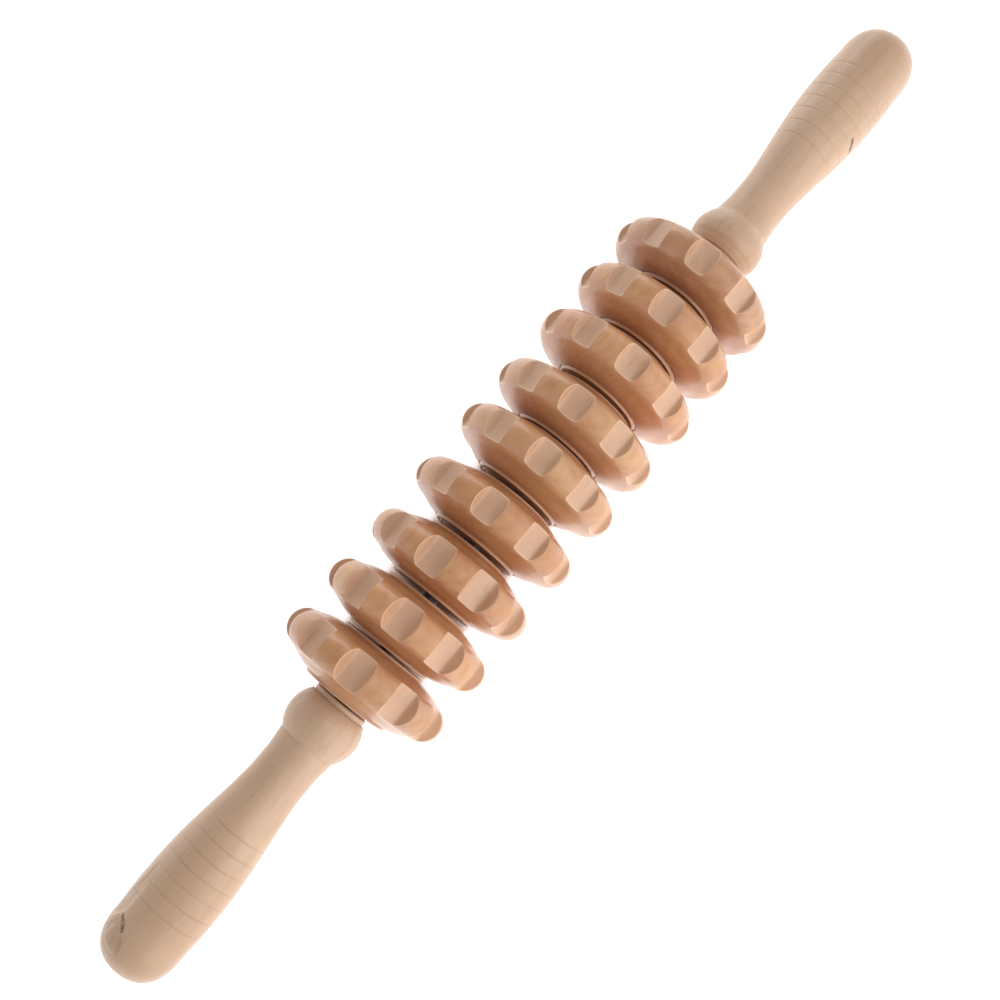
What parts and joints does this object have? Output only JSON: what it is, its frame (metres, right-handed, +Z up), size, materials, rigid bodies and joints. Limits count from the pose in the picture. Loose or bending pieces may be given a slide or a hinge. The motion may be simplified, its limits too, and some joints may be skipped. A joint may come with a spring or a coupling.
{
  "type": "wooden roller massager",
  "caption": "Hand-held wooden roller massager: a row of notched wooden wheels spins freely on a steel axle between two turned wooden handles with grooved grips.",
  "frame": {"origin": "on the axle's axis, halfway between the two ends of the stick", "axes": "+X along the axle from the left handle to the right one, +Z up when the stick lies on a table"},
  "size_m": [0.397, 0.06, 0.06],
  "materials": {
    "axle_steel": "plain drawn steel rod",
    "handle_wood": "pale birch, sanded, thin satin varnish",
    "wheel_wood": "warm brown hardwood, glossy varnish"
  },
  "bodies": {
    "stick": {"axle": "axle_steel", "handle_left": "handle_wood", "handle_right": "handle_wood"},
    "wheel_1": {"wheel_1": "wheel_wood"},
    "wheel_2": {"wheel_2": "wheel_wood"},
    "wheel_3": {"wheel_3": "wheel_wood"},
    "wheel_4": {"wheel_4": "wheel_wood"},
    "wheel_5": {"wheel_5": "wheel_wood"},
    "wheel_6": {"wheel_6": "wheel_wood"},
    "wheel_7": {"wheel_7": "wheel_wood"},
    "wheel_8": {"wheel_8": "wheel_wood"},
    "wheel_9": {"wheel_9": "wheel_wood"}
  },
  "joints": [
    {"name": "wheel_1_spin", "type": "hinge", "parent": "stick", "child": "wheel_1", "pos_m": [-0.08378, 0, 0], "axis": [1, 0, 0], "continuous": true},
    {"name": "wheel_2_spin", "type": "hinge", "parent": "stick", "child": "wheel_2", "pos_m": [-0.06317, 0, 0], "axis": [1, 0, 0], "continuous": true},
    {"name": "wheel_3_spin", "type": "hinge", "parent": "stick", "child": "wheel_3", "pos_m": [-0.04174, 0, 0], "axis": [1, 0, 0], "continuous": true},
    {"name": "wheel_4_spin", "type": "hinge", "parent": "stick", "child": "wheel_4", "pos_m": [-0.02031, 0, 0], "axis": [1, 0, 0], "continuous": true},
    {"name": "wheel_5_spin", "type": "hinge", "parent": "stick", "child": "wheel_5", "pos_m": [0.00112, 0, 0], "axis": [1, 0, 0], "continuous": true},
    {"name": "wheel_6_spin", "type": "hinge", "parent": "stick", "child": "wheel_6", "pos_m": [0.02153, 0, 0], "axis": [1, 0, 0], "continuous": true},
    {"name": "wheel_7_spin", "type": "hinge", "parent": "stick", "child": "wheel_7", "pos_m": [0.04256, 0, 0], "axis": [1, 0, 0], "continuous": true},
    {"name": "wheel_8_spin", "type": "hinge", "parent": "stick", "child": "wheel_8", "pos_m": [0.06317, 0, 0], "axis": [1, 0, 0], "continuous": true},
    {"name": "wheel_9_spin", "type": "hinge", "parent": "stick", "child": "wheel_9", "pos_m": [0.08378, 0, 0], "axis": [1, 0, 0], "continuous": true}
  ]
}
